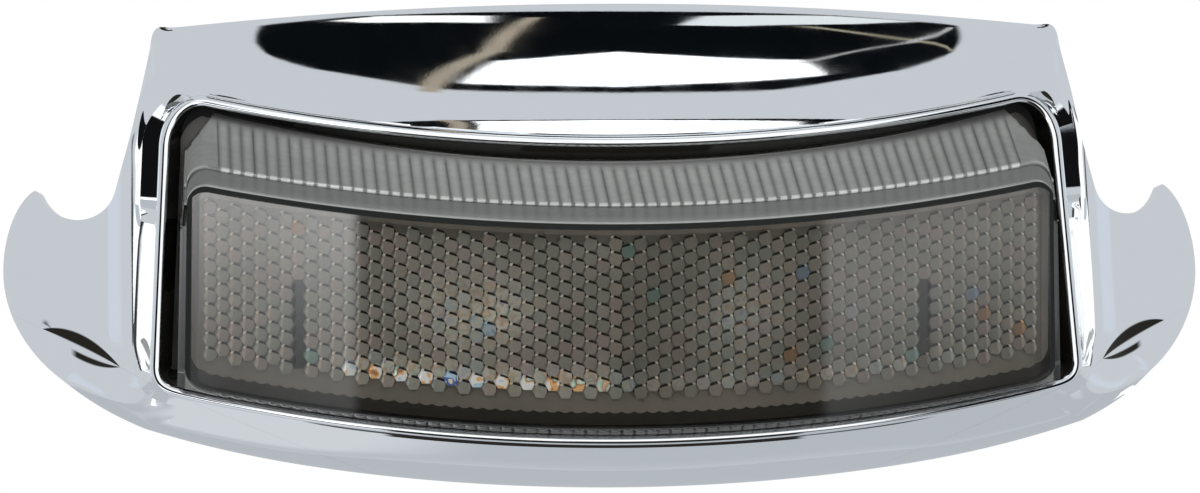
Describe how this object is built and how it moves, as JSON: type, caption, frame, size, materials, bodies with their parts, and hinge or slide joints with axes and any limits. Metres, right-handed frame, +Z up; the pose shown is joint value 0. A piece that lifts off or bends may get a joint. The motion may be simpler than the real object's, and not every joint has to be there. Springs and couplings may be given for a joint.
{
  "type": "rear fender tail light",
  "caption": "Chrome rear fender lamp with side wings, a smoked wedge lens over a reflex plate, a sealed housing and quarter-turn bulb sockets.",
  "frame": {"origin": "middle of the two fender bolts, on the plane where the bezel's bosses meet the fender", "axes": "+X to the viewer's right across the wings, +Y away from the viewer into the fender, +Z up"},
  "size_m": [0.2698, 0.0698, 0.1038],
  "materials": {
    "chrome": "bright chrome plate on a die casting",
    "smoked_lens": "smoked transparent acrylic, polished",
    "reflex_optic": "clear moulded prism optic",
    "silvered_liner": "silvered plastic",
    "housing_plastic": "black moulded plastic",
    "socket_plastic": "black glass-filled nylon",
    "bulb_base": "moulded wedge base",
    "bulb_glass": "clear glass",
    "filament": "tungsten wire",
    "rubber": "moulded black rubber",
    "brass": "turned brass",
    "zinc_steel": "zinc-plated steel"
  },
  "bodies": {
    "lamp": {"chrome_bezel": "chrome", "edge_welt": "rubber", "wing_pad_left": "rubber", "wing_pad_right": "rubber", "lens": "smoked_lens", "reflex_plate": "reflex_optic", "lens_gasket": "rubber", "lamp_housing": "housing_plastic", "bright_liner": "silvered_liner", "mount_insert_left": "brass", "mount_insert_right": "brass", "housing_screw_1": "zinc_steel", "housing_screw_2": "zinc_steel", "housing_screw_3": "zinc_steel", "housing_screw_4": "zinc_steel", "lead_grommet": "rubber", "vent_plug": "housing_plastic"},
    "socket_left": {"bulb_socket_left": "socket_plastic", "socket_seal_left": "rubber", "bulb_base_left": "bulb_base", "bulb_glass_left": "bulb_glass", "filament_left": "filament", "contacts_left": "brass"},
    "socket_right": {"bulb_socket_right": "socket_plastic", "socket_seal_right": "rubber", "bulb_base_right": "bulb_base", "bulb_glass_right": "bulb_glass", "filament_right": "filament", "contacts_right": "brass"}
  },
  "joints": [
    {"name": "socket_left_turn", "type": "hinge", "parent": "lamp", "child": "socket_left", "pos_m": [-0.031, -0.009, -0.05], "axis": [0, 1, 0], "range_deg": [0, 45]},
    {"name": "socket_right_turn", "type": "hinge", "parent": "lamp", "child": "socket_right", "pos_m": [0.031, -0.009, -0.05], "axis": [0, 1, 0], "range_deg": [0, 45]}
  ]
}
